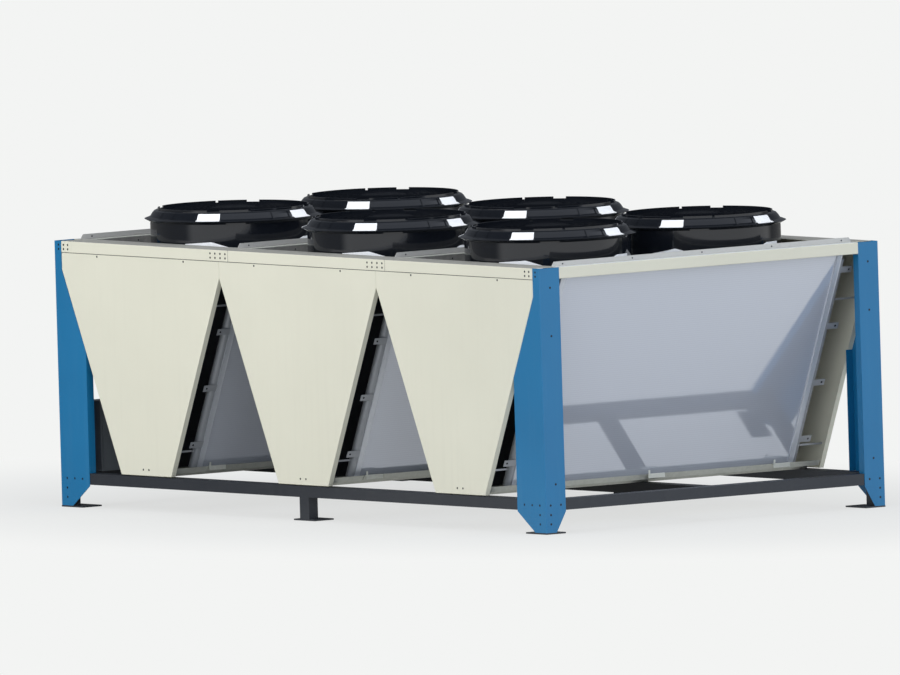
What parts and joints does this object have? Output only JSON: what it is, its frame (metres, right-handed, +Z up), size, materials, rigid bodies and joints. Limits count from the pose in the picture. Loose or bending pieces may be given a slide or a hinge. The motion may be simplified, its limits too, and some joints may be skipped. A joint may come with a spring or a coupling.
{
  "type": "air-cooled chiller",
  "caption": "Air-cooled chiller section with inclined coils in V shaped modules on a tube frame, folded corner posts and roof fans in round hoods.",
  "frame": {"origin": "centre of the outline on plan, at the underside of the foot plates", "axes": "+X along the long side, through the three modules; +Y from the front panels to the back ones; +Z up"},
  "size_m": [4.2, 2.3, 1.599],
  "materials": {
    "ivory_paint": "powder coat, satin",
    "blue_paint": "powder coat, satin",
    "dark_paint": "powder coat, satin",
    "galvanised": "galvanised sheet",
    "coil_aluminium": "bare aluminium fins",
    "fan_plastic": "moulded black plastic, slight gloss",
    "cabinet_grey": "powder coat, satin"
  },
  "bodies": {
    "root": {"base_end_rails": "dark_paint", "base_long_rails": "dark_paint", "base_middle_rail": "dark_paint", "coil_1_left": "coil_aluminium", "coil_1_right": "coil_aluminium", "coil_2_left": "coil_aluminium", "coil_2_right": "coil_aluminium", "coil_3_left": "coil_aluminium", "coil_3_right": "coil_aluminium", "coil_headers_1": "coil_aluminium", "coil_headers_2": "coil_aluminium", "coil_headers_3": "coil_aluminium", "coil_trays": "galvanised", "control_cabinet": "cabinet_grey", "corner_feet": "dark_paint", "deck_beam_1": "galvanised", "deck_beam_2": "galvanised", "deck_beam_3": "galvanised", "deck_beam_4": "galvanised", "fan_decks": "galvanised", "fan_guards": "fan_plastic", "fan_hood_1": "fan_plastic", "fan_hood_2": "fan_plastic", "fan_hood_3": "fan_plastic", "fan_hood_4": "fan_plastic", "fan_hood_5": "fan_plastic", "fan_hood_6": "fan_plastic", "fan_impeller_1": "fan_plastic", "fan_impeller_2": "fan_plastic", "fan_impeller_3": "fan_plastic", "fan_impeller_4": "fan_plastic", "fan_impeller_5": "fan_plastic", "fan_impeller_6": "fan_plastic", "middle_legs": "dark_paint", "post_back_left": "blue_paint", "post_back_right": "blue_paint", "post_front_left": "blue_paint", "post_front_right": "blue_paint", "top_rail_left": "ivory_paint", "top_rail_right": "ivory_paint", "top_rails_back": "ivory_paint", "top_rails_front": "ivory_paint", "v_panel_back_1": "ivory_paint", "v_panel_back_2": "ivory_paint", "v_panel_back_3": "ivory_paint", "v_panel_front_1": "ivory_paint", "v_panel_front_2": "ivory_paint", "v_panel_front_3": "ivory_paint"}
  },
  "joints": []
}
